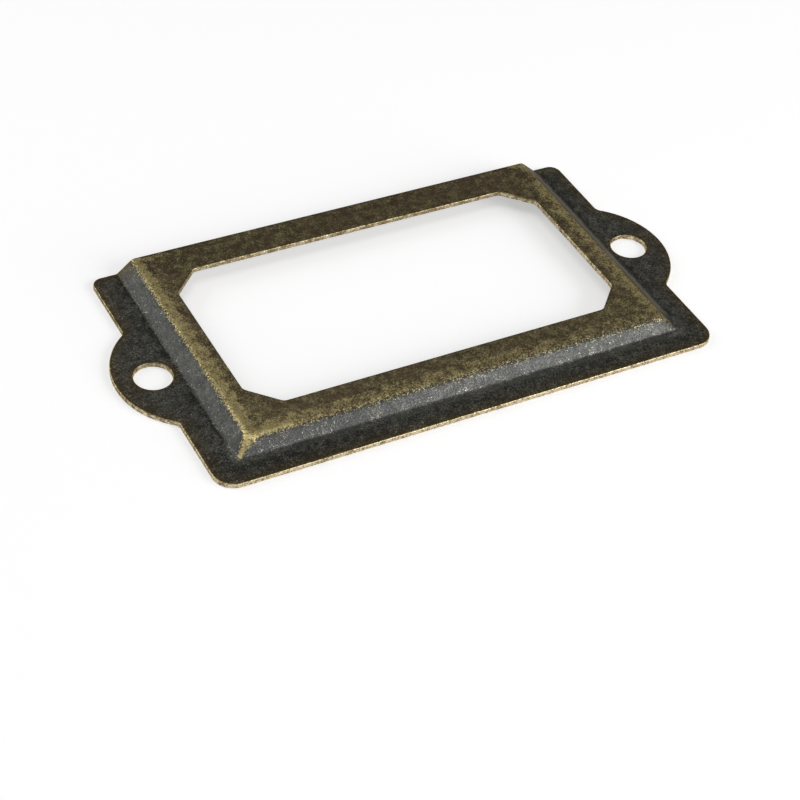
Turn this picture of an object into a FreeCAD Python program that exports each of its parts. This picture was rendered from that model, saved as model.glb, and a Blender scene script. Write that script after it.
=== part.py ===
"""Label frame for a drawer front, stamped from one piece of bronze-finished sheet.

A raised tray with a window holds a card. The tray slopes down to a flat rim at both ends and along
the front, and it is open along the back edge, where the card slides in behind the window. A rounded
ear with a screw hole stands out of each end. X runs along the frame, the open edge is at +Y and the
rim's underside, which lies on the drawer, is z = 0. The origin is the middle of that underside.
"""
import FreeCAD
import Part
import Sketcher
import os

SIZES = {
    # the flat blank
    "flange_length": 62.0,          # along X, without the ears
    "frame_depth": 36.0,            # front edge to open edge, along Y
    "sheet_gauge": 0.6,
    "front_corner_radius": 2.4,
    "back_corner_radius": 1.3,
    # the ears and their screw holes
    "ear_radius": 9.3,
    "ear_reach": 4.0,               # how far an ear stands out of the end
    "ear_line": 0.45,               # the ears' centre line, from mid-depth towards the open edge
    "ear_root_radius": 1.0,
    "hole_setback": 4.3,            # from an ear's tip to the middle of its hole
    "hole_diameter": 4.3,
    # the raised tray
    "rim_width": 3.2,               # flat rim outside the tray
    "tray_rise": 1.65,
    "bevel_run": 1.9,               # width of the sloping border at the ends, seen from above
    "front_bevel_run": 1.15,        # and along the front, which is steeper
    "bend_radius": 0.4,             # in the foot; the ridge is rounder by the gauge
    # the window, by the flat bands around it
    "end_band": 2.45,
    "front_band": 3.7,
    "back_band": 4.2,
    "window_chamfer": 3.3,
    "window_corner_radius": 1.0,
}
SPARE = "1"     # how far a cut runs on past the surface that it opens
NEAR = 1e-3     # an edge this close to a place lies on it

doc = FreeCAD.newDocument("label_frame")
sizes = doc.addObject("Spreadsheet::Sheet", "sizes")
for row, (alias, size) in enumerate(SIZES.items(), start=1):
    sizes.set(f"A{row}", alias)
    sizes.set(f"B{row}", str(size))
    sizes.setAlias(f"B{row}", alias)
doc.recompute()

# Places on the frame, each written once from the sizes
END = "(sizes.flange_length / 2)"
EDGE = "(sizes.frame_depth / 2)"
EAR = f"({END} + sizes.ear_reach - sizes.ear_radius)"
HOLE = f"({END} + sizes.ear_reach - sizes.hole_setback)"
FOOT_X, FOOT_Y = f"({END} - sizes.rim_width)", f"({EDGE} - sizes.rim_width)"
RIDGE_X, RIDGE_Y = f"({FOOT_X} - sizes.bevel_run)", f"({FOOT_Y} - sizes.front_bevel_run)"
WINDOW_X = f"({RIDGE_X} - sizes.end_band)"
WINDOW_FRONT = f"({RIDGE_Y} - sizes.front_band)"
WINDOW_BACK = f"({EDGE} - sizes.back_band)"
END_SLOPE = "atan2(sizes.tray_rise; sizes.bevel_run)"
FRONT_SLOPE = "atan2(sizes.tray_rise; sizes.front_bevel_run)"
OUTER_BEND = "(sizes.bend_radius + sizes.sheet_gauge)"


def value(place):
    """The number that a place works out to."""
    found = sizes.evalExpression(place)
    return getattr(found, "Value", found)


def vector(corner):
    return FreeCAD.Vector(value(corner[0]), value(corner[1]), 0)


def new_sketch(body, name, plane):
    """An empty sketch on one of the body's own planes."""
    sketch = body.newObject("Sketcher::SketchObject", name)
    sketch.AttachmentSupport = [(next(o for o in body.Origin.OriginFeatures if o.Role == plane), "")]
    sketch.MapMode = "FlatFace"
    return sketch


def dimension(sketch, label, place, kind, *where):
    """A named dimension of a sketch that follows a place."""
    index = sketch.addConstraint(Sketcher.Constraint(kind, *where, value(place)))
    sketch.renameConstraint(index, label)
    sketch.setExpression(f"Constraints.{label}", place)


def pin(sketch, label, geometry, point, corner):
    """Holds a point at its two places, measured from the origin."""
    for axis, place in zip("XY", corner):
        ends = ((-1, 1), (geometry, point))
        if value(place) < 0:
            ends, place = ends[::-1], f"-{place}"
        dimension(sketch, f"{label}_{axis.lower()}", place, f"Distance{axis}", *ends[0], *ends[1])


def draw_outline(sketch, corners, hollows=(), bulges=()):
    """A closed line that runs anticlockwise through corners, each a pair of places.

    Its sides are straight, apart from those that hollows and bulges give the radius of, by number.
    """
    hollows, bulges = dict(hollows), dict(bulges)
    first, last = {}, {}
    for i, corner in enumerate(corners):
        start, end = vector(corner), vector(corners[(i + 1) % len(corners)])
        first[i], last[i] = (2, 1) if i in hollows else (1, 2)
        radius = hollows.get(i) or bulges.get(i)
        if radius is None:
            sketch.addGeometry(Part.LineSegment(start, end))
            continue
        chord = end - start
        rise = value(radius) - (value(radius) ** 2 - chord.Length ** 2 / 4) ** 0.5
        side = FreeCAD.Vector(chord.y, -chord.x, 0).normalize() * (-rise if i in hollows else rise)
        ends = (end, start) if i in hollows else (start, end)
        sketch.addGeometry(Part.Arc(ends[0], (start + end) / 2 + side, ends[1]))
        dimension(sketch, f"radius{i}", radius, "Radius", i)
    for i, corner in enumerate(corners):
        following = (i + 1) % len(corners)
        sketch.addConstraint(Sketcher.Constraint("Coincident", i, last[i], following, first[following]))
        pin(sketch, f"corner{i}", i, first[i], corner)
    return sketch


def draw_pair(sketch, offset, radius):
    """Two equal circles on the ears' line, mirrored about the middle of the frame."""
    for i, place in enumerate((f"-{offset}", offset)):
        centre = (place, "sizes.ear_line")
        sketch.addGeometry(Part.Circle(vector(centre), FreeCAD.Vector(0, 0, 1), value(radius)))
        pin(sketch, f"centre{i}", i, 3, centre)
        dimension(sketch, f"radius{i}", radius, "Radius", i)
    return sketch


def pad(body, name, sketch, length, both_ways=False):
    feature = body.newObject("PartDesign::Pad", name)
    feature.Profile = sketch
    feature.Midplane = both_ways
    feature.setExpression("Length", length)
    doc.recompute()


def cut_through(body, name, sketch):
    """Cuts a sketch right through the body, both ways from its plane."""
    feature = body.newObject("PartDesign::Pocket", name)
    feature.Profile = sketch
    feature.Type = "ThroughAll"
    feature.Midplane = True
    before = body.Shape.Volume
    doc.recompute()
    if body.Shape.Volume > before - NEAR:
        raise RuntimeError(f"{name} cuts nothing")


def round_uprights(body, name, radius, chosen):
    """Rounds the body's upright edges whose plan position chosen picks."""
    base = body.Tip
    names = []
    for i, edge in enumerate(base.Shape.Edges, start=1):
        box = edge.BoundBox
        if max(box.XLength, box.YLength) < NEAR and chosen(box.XMin, box.YMin):
            names.append(f"Edge{i}")
    if not names:
        raise RuntimeError(f"{name} finds no edge")
    feature = body.newObject("PartDesign::Fillet", name)
    feature.Base = (base, names)
    feature.setExpression("Radius", radius)
    doc.recompute()


def near(number, place):
    return abs(number - value(place)) < NEAR


def climb(foot, ridge, slope, under, low, foot_bend, ridge_bend):
    """The four corners of a sloping border's section, from the rim's bend up to the ridge's bend.

    A face that lies under the sheet's upper face has its slope further in.
    """
    lower, upper, inset = (f"({size} * tan({slope} / 2))" for size in (foot_bend, ridge_bend, under))
    high = f"({low} + sizes.tray_rise)"
    return [(f"({foot} - {inset} + {lower})", low),
            (f"({foot} - {inset} - {lower} * cos({slope}))", f"({low} + {lower} * sin({slope}))"),
            (f"({ridge} - {inset} + {upper} * cos({slope}))", f"({high} - {upper} * sin({slope}))"),
            (f"({ridge} - {inset} - {upper})", high)]


def mirrored(corners):
    return [(f"-{across}", up) for across, up in reversed(corners)]


def sloping_block(body, under, low, foot_bend, ridge_bend, bottom, spare):
    """A block whose top slopes from the tray's height to a low rim, at both ends and in front.

    The section across the ends is drawn first, and the front is then cut to its own slope.
    """
    side = f"({END} + {spare})"
    ends = climb(FOOT_X, RIDGE_X, END_SLOPE, under, low, foot_bend, ridge_bend)
    corners = [(f"-{side}", bottom), (side, bottom), (side, low)]
    corners += ends + mirrored(ends) + [(f"-{side}", low)]
    section = draw_outline(new_sketch(body, f"{body.Name}_ends_section", "XZ_Plane"), corners,
                           hollows={3: foot_bend, 9: foot_bend},
                           bulges={5: ridge_bend, 7: ridge_bend})
    pad(body, f"{body.Name}_ends", section, f"(sizes.frame_depth + 2 * {spare})", both_ways=True)

    front = mirrored(climb(FOOT_Y, RIDGE_Y, FRONT_SLOPE, under, low, foot_bend, ridge_bend))[::-1]
    outside, above = f"-({EDGE} + {spare} + {SPARE})", f"({low} + sizes.tray_rise + {SPARE})"
    corners = [(outside, low), *front, (front[-1][0], above), (outside, above)]
    section = draw_outline(new_sketch(body, f"{body.Name}_front_section", "YZ_Plane"), corners,
                           bulges={1: foot_bend}, hollows={3: ridge_bend})
    cut_through(body, f"{body.Name}_front", section)


def is_ear_root(x, y):
    from_ear = ((abs(x) - value(EAR)) ** 2 + (y - value("sizes.ear_line")) ** 2) ** 0.5
    return near(abs(x), END) and near(from_ear, "sizes.ear_radius")


# The space under the sheet, for the card, is a block of the same form, one gauge inside
card_space = doc.addObject("PartDesign::Body", "card_space")
sloping_block(card_space, "sizes.sheet_gauge", "0", OUTER_BEND, "sizes.bend_radius", f"-{SPARE}", SPARE)
frame = doc.addObject("PartDesign::Body", "label_frame")
sloping_block(frame, "0", "sizes.sheet_gauge", "sizes.bend_radius", OUTER_BEND, "0", "0")
round_uprights(frame, "front_corners", "sizes.front_corner_radius",
               lambda x, y: near(abs(x), END) and near(-y, EDGE))
round_uprights(frame, "back_corners", "sizes.back_corner_radius",
               lambda x, y: near(abs(x), END) and near(y, EDGE))

ears = draw_pair(new_sketch(frame, "ear_circles", "XY_Plane"), EAR, "sizes.ear_radius")
pad(frame, "ears", ears, "sizes.sheet_gauge")
round_uprights(frame, "ear_roots", "sizes.ear_root_radius", is_ear_root)
hollow = frame.newObject("PartDesign::Boolean", "hollow")
hollow.Type = "Cut"
hollow.setObjects([card_space])
doc.recompute()

window_inner = f"({WINDOW_X} - sizes.window_chamfer)"
window_low = f"-({WINDOW_FRONT} - sizes.window_chamfer)"
window_high = f"({WINDOW_BACK} - sizes.window_chamfer)"
right = [(window_inner, f"-{WINDOW_FRONT}"), (WINDOW_X, window_low), (WINDOW_X, window_high),
         (window_inner, WINDOW_BACK)]
window = draw_outline(new_sketch(frame, "window_outline", "XY_Plane"), right + mirrored(right))
cut_through(frame, "window", window)
round_uprights(frame, "window_corners", "sizes.window_corner_radius",
               lambda x, y: abs(x) < value(WINDOW_X) + NEAR
               and -value(WINDOW_FRONT) - NEAR < y < value(WINDOW_BACK) + NEAR)

holes = draw_pair(new_sketch(frame, "hole_circles", "XY_Plane"), HOLE, "(sizes.hole_diameter / 2)")
cut_through(frame, "screw_holes", holes)

for feature in doc.Objects:
    if {"Invalid", "Error"} & set(feature.State):
        raise RuntimeError(f"{feature.Name} could not be made: {feature.State}")
shape = frame.Shape
if shape.isNull() or not shape.isValid() or len(shape.Solids) != 1:
    raise RuntimeError("the label frame is not one sound solid")
box = shape.BoundBox
print(f"label_frame {box.XLength:.2f} x {box.YLength:.2f} x {box.ZLength:.2f} mm,"
      f" {shape.Volume:.1f} mm3")

os.makedirs("parts", exist_ok=True)
shape.exportStep("parts/label_frame.step")
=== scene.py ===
# %% [markdown]
# # A label frame in antique bronze
# A drawer's label sits behind a thin frame that a press stamped out of one sheet of brass. The sheet is
# the same thickness everywhere, so the whole piece can be drawn as one upper surface, a copy of it one
# gauge lower, and a narrow wall along every cut edge. The CAD solid fixes the size and the place.

import bmesh
import bpy
import numpy as np
from mathutils import Matrix, Vector


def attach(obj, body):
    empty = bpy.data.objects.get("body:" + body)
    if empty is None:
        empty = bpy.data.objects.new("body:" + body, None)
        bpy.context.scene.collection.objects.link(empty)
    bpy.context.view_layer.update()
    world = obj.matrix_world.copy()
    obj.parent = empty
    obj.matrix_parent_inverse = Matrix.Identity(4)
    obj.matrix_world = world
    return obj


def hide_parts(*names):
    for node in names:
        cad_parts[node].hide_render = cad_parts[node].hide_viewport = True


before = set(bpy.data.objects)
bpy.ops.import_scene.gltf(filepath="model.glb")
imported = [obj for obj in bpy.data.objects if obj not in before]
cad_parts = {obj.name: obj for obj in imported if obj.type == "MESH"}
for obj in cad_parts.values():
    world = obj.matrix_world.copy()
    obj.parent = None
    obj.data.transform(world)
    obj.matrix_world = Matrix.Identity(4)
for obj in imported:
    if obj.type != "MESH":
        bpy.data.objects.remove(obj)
scene = bpy.context.scene
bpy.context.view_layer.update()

# %% [markdown]
# ## The sizes
# All lengths are in millimetres and are the solid's own. Only the last lines are new: a press rounds the
# sheet's cut edge a little, no bend of a real stamping turns a corner without a small radius, and a mesh
# needs points that are close enough to look smooth.

# %% Sizes in millimetres
MM = 0.001
END, EDGE = 31.0, 18.0                  # half the blank's length and depth
GAUGE = 0.6
FRONT_CORNER, BACK_CORNER = 2.4, 1.3    # radii of the blank's corners
EAR_RADIUS, EAR_REACH, EAR_LINE, EAR_ROOT = 9.3, 4.0, 0.45, 1.0
HOLE_X, HOLE_RADIUS = 30.7, 2.15
RIM, RISE = 3.2, 1.65                   # flat rim, then the sloping border's height
END_RUN, FRONT_RUN = 1.9, 1.15          # the border's width at the ends and in front, seen from above
BEND = 0.4                              # inside radius of the bends
WINDOW_X, WINDOW_FRONT, WINDOW_BACK = 23.45, 9.95, 13.8
WINDOW_CHAMFER, WINDOW_CORNER = 3.3, 1.0
EDGE_ROLL = 0.1                         # rounding of the cut edges
HIP_CORNER = 0.9                        # rounding of the border's two front corners, seen from above
FINE, CLOSE = 0.35, 0.1                 # spacing of the points along the frame, and where it curves

# %% [markdown]
# ## The border's two sections
# From the flat top the sheet bends down over the ridge, runs straight down the slope and bends back into
# the flat rim. That is two arcs and a straight line, so a section is a list of points, each with its
# distance out from the top's edge and its height. The front is steeper than the ends. Its section has
# its points at the same heights, so that the two meet level at the corners.

# %% Draw the sections
END_SLOPE, FRONT_SLOPE = np.arctan2(RISE, END_RUN), np.arctan2(RISE, FRONT_RUN)
OUTER_BEND = BEND + GAUGE
TOP = GAUGE + RISE


def border_section(run, slope, arc_points=11, slope_points=14):
    """Distance out and height along the border, from the top's edge to the rim.

    On an arc of radius r the sheet has turned by an angle a, so it has gone r sin a out and
    r (1 - cos a) down. The foot's arc is the same thing, counted back from the rim.
    """
    turn = np.linspace(0, slope, arc_points)
    ridge_out, ridge_drop = OUTER_BEND * np.sin(turn), OUTER_BEND * (1 - np.cos(turn))
    foot_in, foot_lift = BEND * np.sin(turn[::-1]), BEND * (1 - np.cos(turn[::-1]))
    lower_out = run + (OUTER_BEND + BEND) * np.tan(slope / 2) - foot_in
    straight_out = np.linspace(ridge_out[-1], lower_out[0], slope_points)[1:-1]
    straight_height = np.linspace(TOP - ridge_drop[-1], GAUGE + foot_lift[0], slope_points)[1:-1]
    return (np.concatenate([ridge_out, straight_out, lower_out]),
            np.concatenate([TOP - ridge_drop, straight_height, GAUGE + foot_lift]))


SMOOTH = 200                                # points on an arc that is only read from
end_out, border_height = border_section(END_RUN, END_SLOPE)
smooth_out, smooth_height = border_section(FRONT_RUN, FRONT_SLOPE, SMOOTH)
front_out = np.interp(-border_height, -smooth_height, smooth_out)
TOP_X = END - RIM - END_RUN - OUTER_BEND * np.tan(END_SLOPE / 2)
TOP_Y = EDGE - RIM - FRONT_RUN - OUTER_BEND * np.tan(FRONT_SLOPE / 2)
print(f"sections of {len(end_out)} points, {end_out[-1]:.3f} mm and {front_out[-1]:.3f} mm wide")

# %% [markdown]
# ## One path for the whole frame
# The tray is open along its back edge, so its border runs round three sides like a U. Every line of the
# frame that follows the U (ridge, foot, outline) gets its points at the same stations, and then any two
# neighbouring lines can be joined by a plain grid. Stations crowd where something curves: at the
# corners, the ears' roots, the screw hole and the window's corners.

# %% Choose the stations along an end, round a corner, along the front and along the back
BACK = EDGE - EDGE_ROLL
HOLE_EDGE = HOLE_RADIUS + EDGE_ROLL
ear_x = END + EAR_REACH - EAR_RADIUS
root_y = np.sqrt((EAR_RADIUS + EAR_ROOT) ** 2 - (END + EAR_ROOT - ear_x) ** 2)
root_end = root_y * EAR_RADIUS / (EAR_RADIUS + EAR_ROOT)
cut = WINDOW_CORNER * np.tan(np.pi / 8)     # how much of a side a rounded corner of the window takes
window_side = WINDOW_X - WINDOW_CHAMFER     # half the straight part of the window's long sides


def stretches(marks, spacings):
    """Points from mark to mark, each stretch with its own spacing, without the last mark."""
    parts = [np.linspace(a, b, int(abs(b - a) / gap) + 2)[:-1]
             for a, b, gap in zip(marks, marks[1:], spacings)]
    return np.concatenate(parts)


upper_bend = WINDOW_BACK - WINDOW_CHAMFER + np.array([cut, -cut])
lower_bend = -WINDOW_FRONT + WINDOW_CHAMFER + np.array([cut, -cut])
CORNER_POINTS, HOLE_POINTS = 13, 33         # round a corner of the blank, and round half a screw hole
quarter = np.linspace(0, np.pi / 2, CORNER_POINTS)
end_y = np.concatenate([
    EDGE - BACK_CORNER + (BACK_CORNER - EDGE_ROLL) * np.cos(quarter[:-1]),
    stretches([EDGE - BACK_CORNER, *upper_bend, EAR_LINE + root_y, EAR_LINE + root_end,
               EAR_LINE + HOLE_EDGE], [FINE, CLOSE, FINE, CLOSE, FINE]),
    EAR_LINE + HOLE_EDGE * np.cos(np.linspace(0, np.pi, HOLE_POINTS))[:-1],
    stretches([EAR_LINE - HOLE_EDGE, lower_bend[0], EAR_LINE - root_end, lower_bend[1],
               EAR_LINE - root_y, FRONT_CORNER - EDGE], [FINE, CLOSE, CLOSE, CLOSE, FINE])])
end_count = len(end_y)
long_bends = [-window_side - cut, -window_side + cut, window_side - cut, window_side + cut]
front_x = stretches([FRONT_CORNER - END, *long_bends, END - FRONT_CORNER],
                    [FINE, CLOSE, FINE, CLOSE, FINE])[1:]
back_x = -stretches([-TOP_X, *long_bends, TOP_X], [FINE, CLOSE, FINE, CLOSE, FINE])[1:]
print("stations:", end_count, "along an end,", len(front_x), "in front,", len(back_x), "at the back")

# %% [markdown]
# ## Lines that follow the U
# A line a given distance outside the top's edge has two straight ends, two rounded corners and a
# straight front. Far from the corners all lines share the stations' own coordinates, and near the
# corners they are stretched to their own length. The outline does the same, but bulges round the ears.

# %% Make the lines
STEADY_Y, STEADY_X = -8.0, 21.0             # inside these the stations aren't stretched


def mirrored(points):
    """The same line on the frame's right half, in the order that goes on along the U."""
    return points[::-1] * [-1, 1]


def fitted(stations, steady, own_end, line_end):
    """Stations beyond steady, stretched so that the last one, own_end, lands on line_end."""
    share = (line_end - steady) / (own_end - steady)
    past = (stations - steady) * np.sign(own_end - steady) > 0
    return np.where(past, steady + (stations - steady) * share, stations)


def u_line(side, front, radius):
    """A U whose ends are at x = -side and side, its front at y = -front and its corners rounded.

    A point of a corner lies radius times the cosine left and radius times the sine down of its centre.
    """
    y = fitted(end_y, STEADY_Y, FRONT_CORNER - EDGE, radius - front)
    left = np.column_stack([np.full_like(y, -side), y])
    arc = radius * np.column_stack([np.cos(quarter), np.sin(quarter)])
    corner = [radius - side, radius - front] - arc
    x = fitted(np.abs(front_x), STEADY_X, END - FRONT_CORNER, side - radius) * np.sign(front_x)
    half = np.vstack([left, corner])
    return np.vstack([half, np.column_stack([x, np.full_like(x, -front)]), mirrored(half)])


def outline():
    """The blank's outline, with the ears: x from each y along the ends, then the front.

    On an ear and its roots, a point lies the square root of radius squared less height squared to one
    side of the arc's centre. The back corner goes by its angle instead.
    """
    line = u_line(END, EDGE, FRONT_CORNER)
    turn = np.arccos(np.clip((end_y - EDGE + BACK_CORNER) / (BACK_CORNER - EDGE_ROLL), 0, 1))
    corner = end_y > EDGE - BACK_CORNER
    up = np.abs(end_y - EAR_LINE)
    root = (up > root_end) & (up < root_y)
    x = np.full_like(end_y, END)
    x[corner] = END - BACK_CORNER * (1 - np.sin(turn[corner]))
    x[root] = END + EAR_ROOT - np.sqrt(EAR_ROOT ** 2 - (up[root] - root_y) ** 2)
    ear = up <= root_end
    x[ear] = ear_x + np.sqrt(EAR_RADIUS ** 2 - up[ear] ** 2)
    y = np.where(corner, EDGE - BACK_CORNER * (1 - np.cos(turn)), end_y)
    half = np.column_stack([-x, y])
    line[:end_count], line[-end_count:] = half, mirrored(half)
    return line


def leftward(line):
    """Unit vectors square to a line in plan: its direction (x, y) turned left, to (-y, x)."""
    along = np.gradient(line, axis=0)
    along /= np.linalg.norm(along, axis=1, keepdims=True)
    return np.column_stack([-along[:, 1], along[:, 0]])


blank_line = outline()
blank_out = -leftward(blank_line)
blank_out[[0, -1]] = 0, 1
PATH = len(blank_line)
print("the U has", PATH, "stations; the blank reaches", np.abs(blank_line).max(axis=0))

# %% [markdown]
# ## The window's edge
# The window is a rectangle with cut corners, and each of its eight corners is slightly rounded. Walked
# round once, it is a line with a length, so a point on it is found by how far along it lies. The U's
# stations are shared out along that length: sides on sides, and the U's corners on the cut corners.

# %% Walk round the window
window_corners = np.array([
    [-WINDOW_X, WINDOW_BACK - WINDOW_CHAMFER], [-WINDOW_X, WINDOW_CHAMFER - WINDOW_FRONT],
    [-window_side, -WINDOW_FRONT], [window_side, -WINDOW_FRONT],
    [WINDOW_X, WINDOW_CHAMFER - WINDOW_FRONT], [WINDOW_X, WINDOW_BACK - WINDOW_CHAMFER],
    [window_side, WINDOW_BACK], [-window_side, WINDOW_BACK]])
ARC = 17                                    # points on each rounded corner of the window


def window_walk():
    """Points round the window from the middle of its back left cut corner, and how far along each is.

    A corner's arc leaves its incoming side d at the tangent point and turns towards the side's left
    normal n: after a turn t it is at centre + r (sin t d - cos t n).
    """
    into = window_corners - np.roll(window_corners, 1, axis=0)
    into /= np.linalg.norm(into, axis=1, keepdims=True)
    normal = np.column_stack([-into[:, 1], into[:, 0]])
    centre = window_corners - cut * into + WINDOW_CORNER * normal
    turn = np.linspace(0, np.pi / 4, ARC)[:, None]
    spokes = np.sin(turn) * into[:, None] - np.cos(turn) * normal[:, None]
    arcs = centre[:, None] + WINDOW_CORNER * spokes
    start = window_corners[[0, -1]].mean(axis=0)
    points = np.vstack([start, arcs.reshape(-1, 2), start])
    steps = np.linalg.norm(np.diff(points, axis=0), axis=1)
    return points, np.append(0, np.cumsum(steps))


walk_points, walk_lengths = window_walk()
arc_marks = walk_lengths[1:-1].reshape(-1, ARC)[:, [0, -1]]     # each rounded corner's start and end


def on_window(length):
    """The point on the window's edge that lies a length along the walk."""
    return np.column_stack([np.interp(length, walk_lengths, walk_points[:, i]) for i in (0, 1)])


CORNER_SHARE = np.array([0.35, 0.65])       # the part of a cut corner that faces a corner of the U
facing = arc_marks[1, 1] + CORNER_SHARE * (arc_marks[2, 0] - arc_marks[1, 1])
far_corner = (arc_marks[5, 1] + arc_marks[6, 0]) / 2        # the middle of the back right cut corner
left_length = np.interp(-end_y, -np.array([BACK, *upper_bend, *lower_bend, FRONT_CORNER - EDGE]),
                        [0, *arc_marks[0], *arc_marks[1], facing[0]])
front_length = np.interp(front_x, [FRONT_CORNER - END, *long_bends, END - FRONT_CORNER],
                         [facing[1], *arc_marks[2], *arc_marks[3], far_corner - facing[1]])
back_length = np.interp(-back_x, [-TOP_X, *long_bends, TOP_X],
                        [far_corner, *arc_marks[6], *arc_marks[7], walk_lengths[-1]])
half_length = np.append(left_length, np.linspace(*facing, len(quarter)))
window_length = np.concatenate([half_length, front_length, far_corner - half_length[::-1], back_length])
window_line = on_window(window_length)
STEP = 0.03                                 # a short way along the window, to find its direction
ahead, behind = (on_window((window_length + way) % walk_lengths[-1]) for way in (STEP, -STEP))
window_in = np.column_stack([behind[:, 1] - ahead[:, 1], ahead[:, 0] - behind[:, 0]])
window_in /= np.linalg.norm(window_in, axis=1, keepdims=True)
print(f"the window is {walk_lengths[-1]:.1f} mm round, with {len(window_line)} stations")

# %% [markdown]
# ## The upper surface in four grids
# A ring joins the window's edge to the top's edge. The sections, carried along the U, make the border.
# Two strips make the flat rim: they share a middle line, and where the screw hole is, that line opens
# like a buttonhole into the hole's two halves. Each grid also keeps the direction in which the sheet is
# thick.

# %% Work out the grids
UP = np.array([0.0, 0.0, 1.0])
ring_shares = np.array([0, 0.05, 0.2, 0.4, 0.6, 0.8, 0.95, 1])
rim_shares = np.array([0, 0.06, 0.3, 0.6, 0.94, 1])


def between(first, last, shares, height):
    """A flat grid: row k lies shares[k] of the way from the first line to the last."""
    plan = first + shares[:, None, None] * (last - first)
    return np.dstack([plan, np.full(plan.shape[:2], height)])


def border():
    """The sections carried along the U, and the sheet's direction of thickness.

    That direction is square to the sheet: the cross product of the way down and the way along.
    """
    lines = [u_line(TOP_X + out, TOP_Y + front, HIP_CORNER) for out, front in zip(end_out, front_out)]
    grid = np.dstack([lines, np.broadcast_to(border_height[:, None], (len(lines), PATH))])
    down, along = np.gradient(grid, axis=(0, 1))
    thick = np.cross(down, along)
    thick[[0, -1]] = UP
    return grid, thick / np.linalg.norm(thick, axis=2, keepdims=True)


border_grid, border_thick = border()
top_line = np.vstack([border_grid[0, :, :2], np.column_stack([back_x, np.full_like(back_x, BACK)])])
ring_grid = between(window_line - EDGE_ROLL * window_in, top_line, ring_shares, TOP)

foot_line, blank_inset = border_grid[-1, :, :2], blank_line - EDGE_ROLL * blank_out
middle = (foot_line + blank_inset) / 2
off_hole = np.abs(end_y - EAR_LINE)
pull = np.clip((root_end - off_hole) / (root_end - HOLE_EDGE), 0, 1)
chord = np.sqrt(np.clip(HOLE_EDGE ** 2 - off_hole ** 2, 0, None))
middle[:end_count, 0] += pull * (-HOLE_X - middle[:end_count, 0])
inner_middle, outer_middle = middle.copy(), middle.copy()
inner_middle[:end_count, 0] += chord
outer_middle[:end_count, 0] -= chord
for line in (inner_middle, outer_middle):
    line[-end_count:] = mirrored(line[:end_count])
inner_rim = between(foot_line, inner_middle, rim_shares, GAUGE)
outer_rim = between(outer_middle, blank_inset, rim_shares, GAUGE)
print("grids:", *(grid.shape[:2] for grid in (ring_grid, border_grid, inner_rim, outer_rim)))

# %% [markdown]
# ## The cut edges
# A cut edge is a narrow wall between the two faces, rounded where it meets them. Its own little section
# is carried along every edge of the sheet: round the window, round each hole, and round the outline,
# which at the back climbs over the open end of the tray.

# %% Carry the edge's section along every edge
ROLL_POINTS = 6
roll = np.linspace(0, np.pi / 2, ROLL_POINTS)
wall_out = EDGE_ROLL * np.concatenate([np.sin(roll), np.cos(roll)])
wall_down = np.concatenate([EDGE_ROLL * (1 - np.cos(roll)), GAUGE - EDGE_ROLL * (1 - np.sin(roll))])


def wall(edge, outward, thick):
    """The wall along an edge: wall_out along the outward direction and wall_down through the sheet."""
    return edge + wall_out[:, None, None] * outward - wall_down[:, None, None] * thick


def flat(vectors):
    """Plan vectors as vectors in space."""
    return np.column_stack([vectors, np.zeros(len(vectors))])


def end_column(column):
    """The cut at one end of the U, from the top's edge out to the outline: points and thickness."""
    points = np.vstack([border_grid[1:, column], inner_rim[1:, column], outer_rim[1:-1, column]])
    thick = np.tile(UP, (len(points), 1))
    thick[:len(end_out) - 1] = border_thick[1:, column]
    return points, thick


left_cut, left_thick = end_column(0)
right_cut, right_thick = end_column(-1)
back_line = np.vstack([ring_grid[-1, PATH - 1:], ring_grid[-1, :1]])
outline_edge = np.vstack([outer_rim[-1], right_cut[::-1], back_line, left_cut])
outline_thick = np.vstack([np.tile(UP, (PATH, 1)), right_thick[::-1],
                           np.tile(UP, (len(back_line), 1)), left_thick])
cut_count = len(outline_edge) - PATH
outline_out = np.vstack([flat(blank_out), np.tile([0.0, 1.0, 0.0], (cut_count, 1))])

SLACK = 1e-9                                # so that the hole's first and last station count as on it
in_hole = np.flatnonzero(off_hole <= HOLE_EDGE + SLACK)
hole_plan = np.vstack([inner_middle[in_hole], outer_middle[in_hole][-2:0:-1]])
hole_edge = np.column_stack([hole_plan, np.full(len(hole_plan), GAUGE)])
to_axis = ([-HOLE_X, EAR_LINE] - hole_plan) / HOLE_EDGE
walls = [wall(outline_edge, outline_out, outline_thick),
         wall(ring_grid[0], flat(window_in), UP),
         wall(hole_edge, flat(to_axis), UP),
         wall(hole_edge * [-1, 1, 1], flat(to_axis * [-1, 1]), UP)]
print("walls along edges of", *(grid.shape[1] for grid in walls), "stations")

# %% [markdown]
# ## One closed mesh
# The four grids, their copies one gauge lower and the walls share their edge points, so merging equal
# points closes the sheet. Two numbers ride on every point for the finish: how far down from the ridge it
# lies, and how far from the nearest cut edge. Both are measured along the sheet, in millimetres, but on
# the border the first goes by height, so that it is the same on all sides. On a cut edge's own wall the
# second is below zero.

# %% Put the sheet together
FAR = 30.0                                  # stands for "nowhere near"


def square_faces(rows, columns, closed, first):
    """Corner numbers of a grid's squares, joined round if it is closed."""
    index = first + np.arange(rows * columns).reshape(rows, columns)
    if closed:
        index = np.hstack([index, index[:, :1]])
    corners = [index[:-1, :-1], index[:-1, 1:], index[1:, 1:], index[1:, :-1]]
    return np.dstack(corners).reshape(-1, 4)


def row_lengths(grid):
    """How far along its own column each point of a grid lies, from the first row."""
    steps = np.linalg.norm(np.diff(grid, axis=0), axis=2)
    return np.vstack([np.zeros(grid.shape[1]), np.cumsum(steps, axis=0)])


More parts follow.
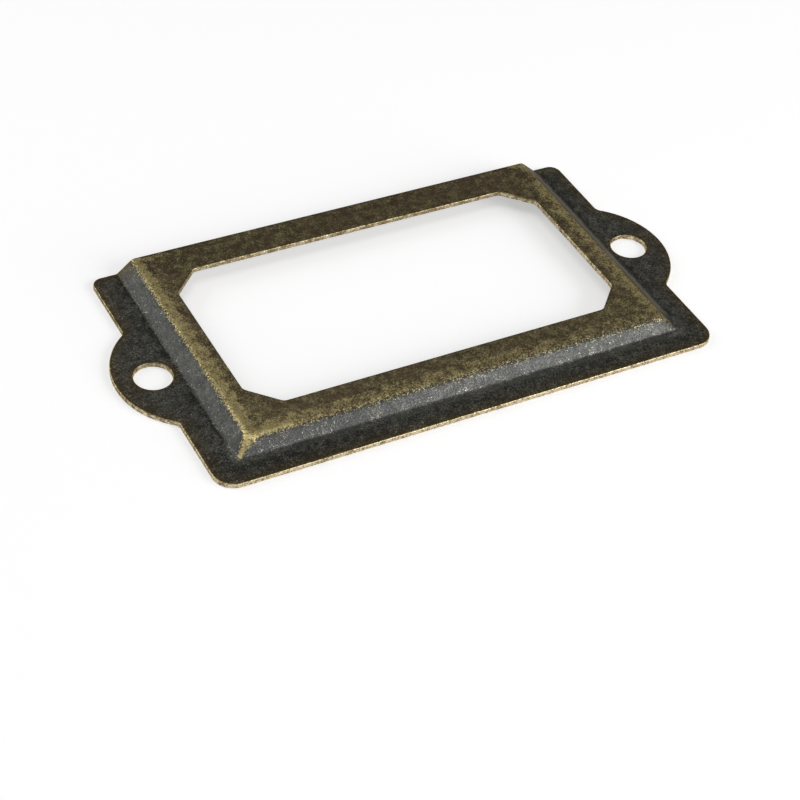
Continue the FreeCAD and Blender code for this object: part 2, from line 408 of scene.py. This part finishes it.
ridge_top = OUTER_BEND * END_SLOPE / 2      # from the top's edge to the middle of the ridge's bend
ring_way, border_way = row_lengths(ring_grid), row_lengths(border_grid)[:, :1]
inner_way, outer_way = row_lengths(inner_rim), row_lengths(outer_rim)
rim_foot = border_way[-1] - ridge_top
hole_near = np.full(PATH, FAR)
hole_near[in_hole] = 0
hole_near[-1 - in_hole] = 0
upper = [
    (ring_grid, np.broadcast_to(UP, ring_grid.shape), True,
     ring_way - ring_way[-1] - ridge_top, ring_way),
    (border_grid, border_thick, False, border_way - ridge_top, np.full_like(border_way, FAR)),
    (inner_rim, np.broadcast_to(UP, inner_rim.shape), False,
     rim_foot + inner_way, hole_near + inner_way[-1] - inner_way),
    (outer_rim, np.broadcast_to(UP, outer_rim.shape), False, rim_foot + inner_way[-1] + outer_way,
     np.minimum(outer_way[-1] - outer_way, hole_near + outer_way)),
]

points, faces, ridge_ways, cut_ways = [], [], [], []


def add_grid(grid, closed, ridge_way, cut_way):
    """Adds a grid to the sheet, with its two numbers for the finish."""
    faces.append(square_faces(*grid.shape[:2], closed, sum(map(len, points))))
    points.append(grid.reshape(-1, 3))
    ridge_ways.append(np.broadcast_to(ridge_way, grid.shape[:2]).ravel())
    cut_ways.append(np.broadcast_to(cut_way, grid.shape[:2]).ravel())


for grid, thick, closed, ridge_way, cut_way in upper:
    cut_way = np.minimum(cut_way, BACK - grid[:, :, 1])
    add_grid(grid, closed, ridge_way, cut_way)
    add_grid(grid - GAUGE * thick, closed, FAR, cut_way)
half_wall = np.minimum(row_lengths(walls[0])[:, :1], row_lengths(walls[0][::-1])[::-1, :1])
for grid in walls:
    add_grid(grid, True, FAR, -half_wall)

sheet_mesh = bpy.data.meshes.new("stamped_sheet")
sheet_mesh.from_pydata(np.vstack(points) * MM, [], np.vstack(faces))
for name, values in (("ridge_way", ridge_ways), ("cut_way", cut_ways)):
    layer = sheet_mesh.attributes.new(name, "FLOAT", "POINT")
    layer.data.foreach_set("value", np.concatenate(values).astype(np.float32))
WELD = 2e-6                                 # metres within which two points are one
work = bmesh.new()
work.from_mesh(sheet_mesh)
bmesh.ops.remove_doubles(work, verts=work.verts, dist=WELD)
bmesh.ops.recalc_face_normals(work, faces=work.faces)
open_edges = sum(not edge.is_manifold for edge in work.edges)
volume = work.calc_volume()
work.to_mesh(sheet_mesh)
work.free()
sheet_mesh.shade_smooth()
sheet = bpy.data.objects.new("stamped_sheet", sheet_mesh)
scene.collection.objects.link(sheet)
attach(sheet, "root")
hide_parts("label_frame")
print(f"sheet: {len(sheet_mesh.polygons)} faces, {open_edges} open edges, {volume / MM ** 3:.1f} mm3")

# %% [markdown]
# ## Arithmetic for finishes
# A finish is a network of nodes, and most of them only add, multiply and blend. A small class that wraps
# a node's socket lets Python's own operators add those nodes, so a finish reads like the sum that it is.

# %% A field: something that changes over a surface


class Field:
    """One output socket of a material. Arithmetic on it adds Math nodes."""

    def __init__(self, tree, socket):
        self.tree, self.socket = tree, socket

    def node(self, kind, settings, sockets, output=0):
        """Adds a node: first its settings, then a value or a link for each of its sockets."""
        made = self.tree.nodes.new(kind)
        for name, setting in settings.items():
            setattr(made, name, setting)
        for name, value in sockets.items():
            if isinstance(value, Field):
                self.tree.links.new(value.socket, made.inputs[name])
            else:
                made.inputs[name].default_value = value
        return Field(self.tree, made.outputs[output])

    def maths(self, operation, *values):
        """One Math node on values that are fields or numbers."""
        return self.node("ShaderNodeMath", {"operation": operation}, dict(enumerate(values)))

    def __add__(self, other):
        return self.maths("ADD", self, other)

    def __sub__(self, other):
        return self.maths("SUBTRACT", self, other)

    def __rsub__(self, other):
        return self.maths("SUBTRACT", other, self)

    def __mul__(self, other):
        return self.maths("MULTIPLY", self, other)

    __radd__, __rmul__ = __add__, __mul__

    def absolute(self):
        return self.maths("ABSOLUTE", self)

    def rising(self, start, end):
        """0 up to start, 1 from end on, and an S-curve between. A start above the end is fine."""
        return self.node("ShaderNodeMapRange", {"interpolation_type": "SMOOTHSTEP"},
                         {"Value": self, "From Min": start, "From Max": end})

    def noise(self, size, detail=4.0, rough=0.55):
        """Cloudy noise between 0 and 1 whose features are about size millimetres wide."""
        return self.node("ShaderNodeTexNoise", {}, {"Vector": self, "Scale": 1 / (size * MM),
                                                    "Detail": detail, "Roughness": rough})

    def tint(self, first, last):
        """A colour that goes from first to last as this field goes from 0 to 1."""
        return self.node("ShaderNodeMix", {"data_type": "RGBA"}, {0: self, 6: first, 7: last}, output=2)


print("fields ready")

# %% [markdown]
# ## Antique bronze
# Brass sheet is darkened with a chemical bath, then rubbed, then lacquered. The bath leaves a dark film,
# nearly black on the rim and slate grey on the slope. Rubbing takes it off again where the sheet stands
# proud: along the ridge, along the cut edges and, in clouds, on the flat top. So the finish is one
# measure of rubbing between 0 and 1, worked out from the two numbers that ride on the mesh and from
# noise, and that measure then blends colour, shine and metal. Some colour is painted light as well:
# painted shade on the front's left end and on the cut walls towards the back, painted sheen on the right
# slope and painted glints along the front slope's foot.

# %% Choose the colours
DARK_FILM, WORN_FILM = (0.034, 0.035, 0.030, 1), (0.172, 0.170, 0.144, 1)       # on the rim
SLATE, WORN_SLATE = (0.072, 0.074, 0.071, 1), (0.125, 0.127, 0.120, 1)          # on the slope
# The right slope: olive near the ridge, and towards its foot a paler colour that is painted sheen
OLIVE_SLATE, SHEEN_SLATE = (0.150, 0.133, 0.102, 1), (0.33, 0.300, 0.242, 1)     # on the right slope
EDGE_FILM = (0.104, 0.074, 0.030, 1)                                            # near a cut edge
RUSSET, UMBER = (0.100, 0.064, 0.044, 1), (0.070, 0.058, 0.032, 1)              # on the top
OLIVE = (0.235, 0.198, 0.102, 1)
DULL_BRASS, BRASS = (0.36, 0.280, 0.118, 1), (0.94, 0.790, 0.385, 1)            # rubbed bare
DIM_EDGE, PALE_EDGE = (0.28, 0.215, 0.115, 1), (0.76, 0.645, 0.43, 1)           # on a cut edge's wall
# Pale flecks; along the front slope's foot they are painted glints in the bend
FLECK_AND_GLINT = (0.50, 0.50, 0.48, 1)
LOW_GLEAM = (0.42, 0.40, 0.36, 1)           # the film dulls what the sheet mirrors at a low angle
print("brass:", BRASS[:3], "film:", DARK_FILM[:3])

# %% [markdown]
# ### Where the finish changes
# Every region of the finish fades in and out. Each pair below is where a fade starts and where it is
# complete, in millimetres, and a pair that runs backwards fades the other way.

# %% Choose the fades
# Down from the ridge, along the sheet
TOP_FADE = 0.2, -0.6                        # the flat top's mellow colours
SLOPE_IN, SLOPE_OUT = (-0.2, 0.8), (2.6, 2.0)
BAND_IN, BAND_OUT = (-1.8, -0.6), (0.6, -0.35)      # bare brass along the ridge
CREST_IN, CREST_OUT = (-0.3, 0.2), (2.7, 2.1)       # bare brass down the two hips
FOOT_IN, FOOT_OUT = (1.5, 2.1), (2.9, 2.4)
# Beside the foot the colour is paler in front and darker all round
PALER_IN_FRONT, DARKER_BESIDE_FOOT = (1.2, 1.8), (3.4, 2.3)       # beside the foot: in front, and all round
RIM_IN = 2.0, 2.6
HELD = 0.0, 0.8                             # from here down the film holds
# Painted sheen: the right slope's colour grows paler towards its foot
SHEEN_IN = 0.2, 2.0                          # the right slope grows paler towards its foot
# In from the nearest cut edge
EDGE_IN, WALL_IN = (0.03, -0.08), (0.0, -0.12)      # the rolled edge, and the wall below it
EDGE_NEAR, BROWN_WIDE, BROWN_CLOSE = (1.4, 0.1), (0.5, 3.0), (0.0, 0.6)
# Away from a hip
HIP_NEAR, CREST_WIDE, CREST_NARROW = (5.0, 0.3), 1.3, -0.1
# Along the frame and across it
FRONT_IN = 1.0 - TOP_Y, 0.1 - TOP_Y
ENDS_IN = 19.0, 25.0
BACK_EDGE, BACK_ENDS = (15.6, 16.8), (TOP_X - 0.8, TOP_X - 2.0)
RIGHT_RIDGE, RIGHT_SLOPE, RIGHT_FRONT = (24.0, 26.0), (24.0, 26.5), (-13.0, -11.0)
LEFT_CORNER, LEFT_FRONT = (10.0, -20.0), (0.0, -24.0)
HIP_SLANT = np.array([end_out[-1], front_out[-1]]) / np.hypot(end_out[-1], front_out[-1])
print("a hip runs along", HIP_SLANT)

# %% [markdown]
# ### The finish itself
# The noise comes first, from broad clouds to single specks. Then come the regions, then the rubbing, and
# last the colours: the film below, brass where it is rubbed bare, and a few pale flecks on top. A number
# in front of a field is its weight.

# %% Make the finish
CLOUD, PATCH, GRAIN, SPECK = 4.0, 1.0, 0.26, 0.14     # sizes of the noise's marks, in millimetres
FLECK_SIZE, SCRATCH_SPACING = 0.25, 3.0
MOST, MIDDLE = (0.3, 0.7), (0.4, 0.6)       # nearly all of a noise's values, and the middle ones
SCRATCH_WIDTH, SCRATCHED = 0.006, (0.5, 0.62)
FLECKED = 0.73, 0.76
# Painted glints: where pale flecks show along the front slope's foot
SPECKED, PATCHED = (0.56, 0.66), (0.45, 0.62)           # at the front slope's foot
SPECKED_RIM, PATCHED_RIM = (0.56, 0.68), (0.45, 0.6)
RUBBED = 0.46, 1.36
BUMP_STRENGTH, BUMP_HEIGHT = 0.7, 0.00005


def antique_bronze():
    """The finish, from where a point lies and from noise.

    Rubbing is the grain's height plus the pressure there. At RUBBED's first value the film begins to
    go, and at its second the brass is bare.
    """
    material = bpy.data.materials.new("antique_bronze")
    material.use_nodes = True
    tree = material.node_tree
    shader = tree.nodes["Principled BSDF"]
    place = Field(tree, tree.nodes.new("ShaderNodeTexCoord").outputs["Object"])
    ridge, cut_edge = (place.node("ShaderNodeAttribute", {"attribute_name": name}, {}, output="Fac")
                       for name in ("ridge_way", "cut_way"))
    along, across = (place.node("ShaderNodeSeparateXYZ", {}, {"Vector": place}, output=axis) * (1 / MM)
                     for axis in ("X", "Y"))

    clouds, patches = place.noise(CLOUD), place.noise(PATCH, rough=0.6)
    grain, specks = place.noise(GRAIN, detail=3.0, rough=0.6), place.noise(SPECK, detail=2.0)
    height = 0.2 * patches.rising(*MOST) + 0.4 * grain.rising(*MOST) + 0.4 * specks.rising(*MOST)
    tone = (0.25 * patches + 0.35 * grain + 0.4 * specks).rising(*MIDDLE)
    off_thread = (place.noise(SCRATCH_SPACING, detail=2.0) - 0.5).absolute()
    scratch = off_thread.rising(SCRATCH_WIDTH, 0.0) * clouds.rising(*SCRATCHED)

    # Regions, 1 inside and 0 outside, with the ridge's line made a little uneven first
    front, ends = across.rising(*FRONT_IN), along.absolute().rising(*ENDS_IN)
    ridge = (ridge - 0.25 * front - 0.3 * along.rising(*RIGHT_RIDGE)
             + 0.8 * (patches - 0.5) + 0.2 * (grain - 0.5))
    top = ridge.rising(*TOP_FADE)
    slope = ridge.rising(*SLOPE_IN) * ridge.rising(*SLOPE_OUT)
    foot = ridge.rising(*FOOT_IN) * ridge.rising(*FOOT_OUT) * front
    open_edge = across.rising(*BACK_EDGE) * along.absolute().rising(*BACK_ENDS)
    band = (ridge.rising(*BAND_IN) * ridge.rising(BAND_OUT[0] - 0.35 * front, BAND_OUT[1])
            * (1 - 0.85 * open_edge))
    hip = ((along.absolute() - TOP_X) * HIP_SLANT[1] + (across + TOP_Y) * HIP_SLANT[0]).absolute()
    corner = hip.rising(*HIP_NEAR) * band * along.rising(*LEFT_CORNER)
    crest = (hip.rising(CREST_WIDE - 0.35 * ridge, CREST_NARROW)
             * ridge.rising(*CREST_IN) * ridge.rising(*CREST_OUT))
    edge = cut_edge.rising(*EDGE_IN)
    right = along.rising(*RIGHT_SLOPE) * across.rising(*RIGHT_FRONT)
    shade = front * along.rising(*LEFT_FRONT)

    # Rubbing: in clouds on the top, along the ridge, down the hips and on the cut edges
    cloudy = 0.45 * (clouds - 0.48) + 0.2 * (patches - 0.5)
    pressure = (top * (0.12 * ends - 0.06 + cloudy - 0.003 * across)
                + band * (0.6 - 0.006 * along - 0.28 * front) + 0.6 * corner
                + crest * (0.75 - 0.015 * along) + 0.7 * edge + 0.35 * scratch
                - ridge.rising(*HELD) * (0.24 - 0.15 * cut_edge.rising(*EDGE_NEAR)))
    rubbed = (height + pressure).rising(*RUBBED)

    # Colours: the film on slope, rim and top, then brass, then pale flecks, painted glints at the front
    # slope's foot
    slate = (tone - 0.5 * shade).tint(SLATE, WORN_SLATE)
    # Painted sheen: on the right slope the colour turns from olive to pale towards the foot
    slate = right.tint(slate, ridge.rising(*SHEEN_IN).tint(OLIVE_SLATE, SHEEN_SLATE))
    # The film's colour: paler beside the foot in front and darker beside it all round, with painted
    # shade towards the front's left end
    film_tone = (tone - 0.12 * front - 0.15 * shade
                 + ridge.rising(*DARKER_BESIDE_FOOT) * (front * ridge.rising(*PALER_IN_FRONT) - 0.4))
    dark = slope.tint(film_tone.tint(DARK_FILM, WORN_FILM), slate)
    inward = 0.3 * cut_edge.rising(*BROWN_WIDE) + 0.7 * cut_edge.rising(*BROWN_CLOSE)
    dark = inward.tint(EDGE_FILM, dark)
    mottle = 0.75 * tone + 0.25 * patches.rising(*MOST) - 0.006 * across
    mellow = mottle.tint(clouds.rising(*MIDDLE).tint(RUSSET, UMBER), OLIVE)
    # Painted shade: the cut walls' colour darkens towards the back, dimming the window's far wall
    wall_tone = (0.5 * patches + 0.5 * grain - 0.003 * across).rising(0.38, 0.6)
    bare = cut_edge.rising(*WALL_IN).tint(tone.tint(DULL_BRASS, BRASS),
                                          wall_tone.tint(DIM_EDGE, PALE_EDGE))
    # Pale flecks on the slope and the rim, and painted glints along the front slope's foot
    fleck_and_glint = (place.noise(FLECK_SIZE, detail=1.0).rising(*FLECKED) * slope
             + 0.6 * specks.rising(*SPECKED) * patches.rising(*PATCHED) * foot
             + 0.4 * specks.rising(*SPECKED_RIM) * patches.rising(*PATCHED_RIM) * ridge.rising(*RIM_IN))
    colour = fleck_and_glint.tint(rubbed.tint(top.tint(dark, mellow), bare), FLECK_AND_GLINT)

    shader.inputs["Specular Tint"].default_value = LOW_GLEAM
    tree.links.new(colour.socket, shader.inputs["Base Color"])
    tree.links.new((0.75 + 0.25 * rubbed).socket, shader.inputs["Metallic"])
    tree.links.new((0.50 - 0.12 * height - 0.05 * rubbed).socket, shader.inputs["Roughness"])
    bump = place.node("ShaderNodeBump", {}, {"Strength": BUMP_STRENGTH, "Distance": BUMP_HEIGHT,
                                             "Height": height + 0.8 * patches}, output="Normal")
    tree.links.new(bump.socket, shader.inputs["Normal"])
    return material


sheet_mesh.materials.append(antique_bronze())
print("finish:", sheet_mesh.materials[0].name)

# %% [markdown]
# ## The floor
# The frame lies on a white table. A white surface under these lamps would come out grey, and stronger
# lamps would burn out the metal. So the floor also glows a little, but only to the camera and in
# reflections: the glow lights nothing, and the floor still takes the frame's shadow.

# %% Lay the floor
FLOOR_HALF = 1.5
FLOOR_COLOUR, FLOOR_GLOW, FAR_GLOW = 0.82, 0.45, 0.83
LAMP_REACH = 0.3, 0.6                       # metres over which the lamps' light falls off on the floor
floor_corners = np.array([(-1, -1, 0), (1, -1, 0), (1, 1, 0), (-1, 1, 0)]) * FLOOR_HALF
floor_mesh = bpy.data.meshes.new("white_floor")
floor_mesh.from_pydata(floor_corners, [], [(0, 1, 2, 3)])
floor = bpy.data.objects.new("white_floor", floor_mesh)
scene.collection.objects.link(floor)


def grey(level):
    """A colour with no hue, as bright as its level."""
    return level, level, level, 1


def white_table():
    """A white surface with a glow that only the camera, reflections and glass see.

    Past the lamps' reach the camera sees the stronger FAR_GLOW, so that the table stays white there.
    """
    material = bpy.data.materials.new("white_table")
    material.use_nodes = True
    tree = material.node_tree
    shader = tree.nodes["Principled BSDF"]
    rays = tree.nodes.new("ShaderNodeLightPath")
    seen, mirrored_ray, through = (Field(tree, rays.outputs[name]) for name in
                                   ("Is Camera Ray", "Is Glossy Ray", "Is Transmission Ray"))
    direct = seen.maths("MAXIMUM", seen.maths("MAXIMUM", seen, mirrored_ray), through)
    place = Field(tree, tree.nodes.new("ShaderNodeTexCoord").outputs["Object"])
    distance = place.node("ShaderNodeVectorMath", {"operation": "LENGTH"}, {0: place}, output="Value")
    far = seen * distance.rising(*LAMP_REACH)
    shine = far.tint(direct.tint(grey(0), grey(FLOOR_GLOW)), grey(FAR_GLOW))
    shader.inputs["Base Color"].default_value = grey(FLOOR_COLOUR)
    shader.inputs["Roughness"].default_value = 0.9
    shader.inputs["Emission Strength"].default_value = 1.0
    tree.links.new(shine.socket, shader.inputs["Emission Color"])
    return material


floor_mesh.materials.append(white_table())
print("floor:", 2 * FLOOR_HALF, "m wide")

# %% [markdown]
# ## The light
# Metal shows what stands around it. So there is a large soft lamp where the front slope mirrors it,
# another where the left slope does, one above, and a duller room behind them all.

# %% Light the room
ROOM = (0.21, 0.21, 0.215, 1)
LAMP_DISTANCE = 0.6
WHITE, WARM = (1.0, 1.0, 1.0), (1.0, 1.0, 0.98)
scene.world = bpy.data.worlds.new("room")
scene.world.use_nodes = True
room = scene.world.node_tree.nodes["Background"]
room.inputs["Color"].default_value = ROOM
room.inputs["Strength"].default_value = 1.0


def soft_lamp(name, direction, size, brightness, colour):
    """A square lamp out along a direction, facing the frame. Its power is pi x brightness x area."""
    lamp = bpy.data.lights.new(name, "AREA")
    lamp.size = size
    lamp.energy = np.pi * brightness * size ** 2
    lamp.color = colour
    holder = bpy.data.objects.new(name, lamp)
    scene.collection.objects.link(holder)
    way = Vector(direction).normalized()
    facing_frame = way.to_track_quat("Z", "Y").to_matrix().to_4x4()
    holder.matrix_world = Matrix.Translation(way * LAMP_DISTANCE) @ facing_frame


soft_lamp("front_lamp", (0.60, -0.73, 0.33), size=0.42, brightness=4.9, colour=WHITE)
soft_lamp("left_lamp", (-0.66, 0.61, 0.44), size=0.42, brightness=2.0, colour=WARM)
soft_lamp("top_lamp", (-0.15, -0.03, 1.0), size=0.32, brightness=1.5, colour=WHITE)
print("lamps:", *bpy.data.lights.keys())

# %% [markdown]
# ## The camera
# It looks down on the frame's left front corner. Its place, turn and lens were worked out from the
# frame's own corners, so that they land where they are seen.

# %% Place the camera
CAMERA_PLACE = (-0.092514, -0.143930, 0.142534)
HEADING, DOWN, ROLL = -32.9395, 42.3129, 7.1414     # degrees
LENS, SENSOR = 87.998, 36.0                         # millimetres
camera = bpy.data.objects.new("camera", bpy.data.cameras.new("camera"))
camera.data.sensor_fit, camera.data.sensor_width = "HORIZONTAL", SENSOR
camera.data.lens = LENS
camera.data.clip_start = 0.01
turns = [Matrix.Rotation(np.radians(angle), 4, axis)
         for angle, axis in ((HEADING, "Z"), (90 - DOWN, "X"), (ROLL, "Z"))]
camera.matrix_world = Matrix.Translation(CAMERA_PLACE) @ turns[0] @ turns[1] @ turns[2]
scene.collection.objects.link(camera)
scene.camera = camera
scene.view_settings.view_transform = "Standard"
print("camera:", LENS, "mm, at", CAMERA_PLACE)
